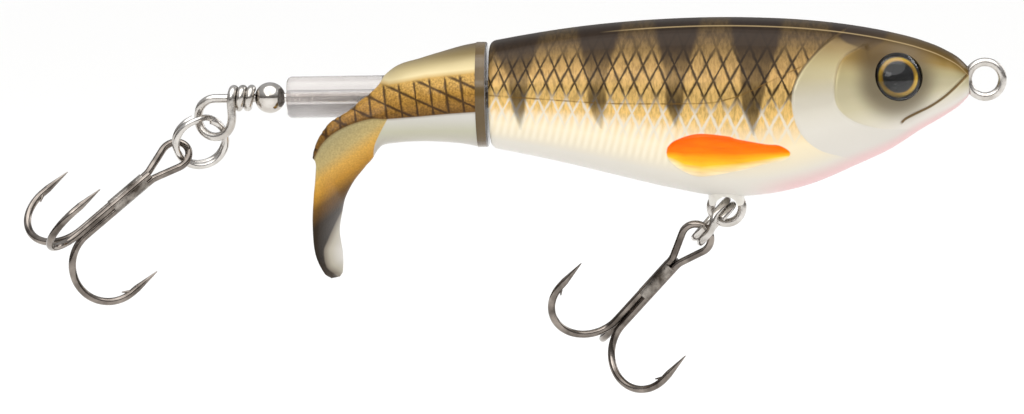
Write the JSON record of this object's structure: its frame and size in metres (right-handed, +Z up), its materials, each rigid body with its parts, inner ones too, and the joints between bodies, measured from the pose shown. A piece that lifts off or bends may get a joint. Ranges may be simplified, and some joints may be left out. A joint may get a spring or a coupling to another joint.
{
  "type": "tail-spinning fishing lure",
  "caption": "Hard-bodied topwater fishing lure on a through-wire, with a soft tail that spins behind the body and two treble hooks on split rings.",
  "frame": {"origin": "centre of the line-tie eye at the nose", "axes": "+X forward, out of the nose; +Z up, towards the back; +Y towards the lure's left side. The spin axis of the tail runs along X, 1.2 mm below the origin."},
  "size_m": [0.1597, 0.0351, 0.0607],
  "materials": {
    "painted_abs": "airbrushed scale pattern under a clear gloss coat",
    "soft_pvc": "painted soft vinyl, semi-gloss",
    "clear_polycarbonate": "clear, polished",
    "stainless_wire": "drawn wire",
    "nickel_steel": "bright nickel plate",
    "black_nickel": "black nickel plate, chemically sharpened",
    "hook_braze": "rough brazing under black nickel",
    "printed_eye_foil": "metallic foil print",
    "clear_epoxy": "clear dome, polished",
    "ballast_steel": "turned"
  },
  "bodies": {
    "body": {"body_shell_left": "painted_abs", "body_shell_right": "painted_abs", "through_wire": "stainless_wire", "belly_hanger": "stainless_wire", "front_ballast": "ballast_steel", "rear_ballast": "ballast_steel", "eye_disc_left": "printed_eye_foil", "eye_disc_right": "printed_eye_foil", "eye_dome_left": "clear_epoxy", "eye_dome_right": "clear_epoxy"},
    "rattle": {"rattle_balls": "ballast_steel"},
    "tail": {"tail_core": "clear_polycarbonate", "tail_skin": "soft_pvc"},
    "bead": {"thrust_bead": "nickel_steel"},
    "belly_ring": {"belly_split_ring": "nickel_steel"},
    "belly_hook": {"belly_hook_pair": "black_nickel", "belly_hook_single": "black_nickel", "belly_hook_braze": "hook_braze"},
    "rear_ring": {"rear_split_ring": "nickel_steel"},
    "rear_hook": {"rear_hook_pair": "black_nickel", "rear_hook_single": "black_nickel", "rear_hook_braze": "hook_braze"}
  },
  "joints": [
    {"name": "tail_spin", "type": "hinge", "parent": "body", "child": "tail", "pos_m": [-0.1, 0, -0.0012], "axis": [1, 0, 0], "continuous": true},
    {"name": "bead_spin", "type": "hinge", "parent": "body", "child": "bead", "pos_m": [-0.11563, 0, -0.0012], "axis": [1, 0, 0], "continuous": true},
    {"name": "rattle_slide", "type": "slide", "parent": "body", "child": "rattle", "axis": [1, 0, 0], "range_m": [0, 0.0078]},
    {"name": "belly_ring_swing", "type": "hinge", "parent": "body", "child": "belly_ring", "pos_m": [-0.04206, 0, -0.02006], "axis": [0, 1, 0], "range_deg": [-100, 25]},
    {"name": "belly_hook_swing", "type": "hinge", "parent": "belly_ring", "child": "belly_hook", "pos_m": [-0.04418, 0.0002, -0.02233], "axis": [0.7433, 0, -0.669], "range_deg": [-60, 60]},
    {"name": "rear_ring_swing", "type": "hinge", "parent": "body", "child": "rear_ring", "pos_m": [-0.1246, 0, -0.0043], "axis": [0, 1, 0], "range_deg": [-60, 4]},
    {"name": "rear_hook_swing", "type": "hinge", "parent": "rear_ring", "child": "rear_hook", "pos_m": [-0.1308, 0.00024, -0.00987], "axis": [-0.3382, -0.4309, 0.8367], "range_deg": [-60, 60]}
  ]
}
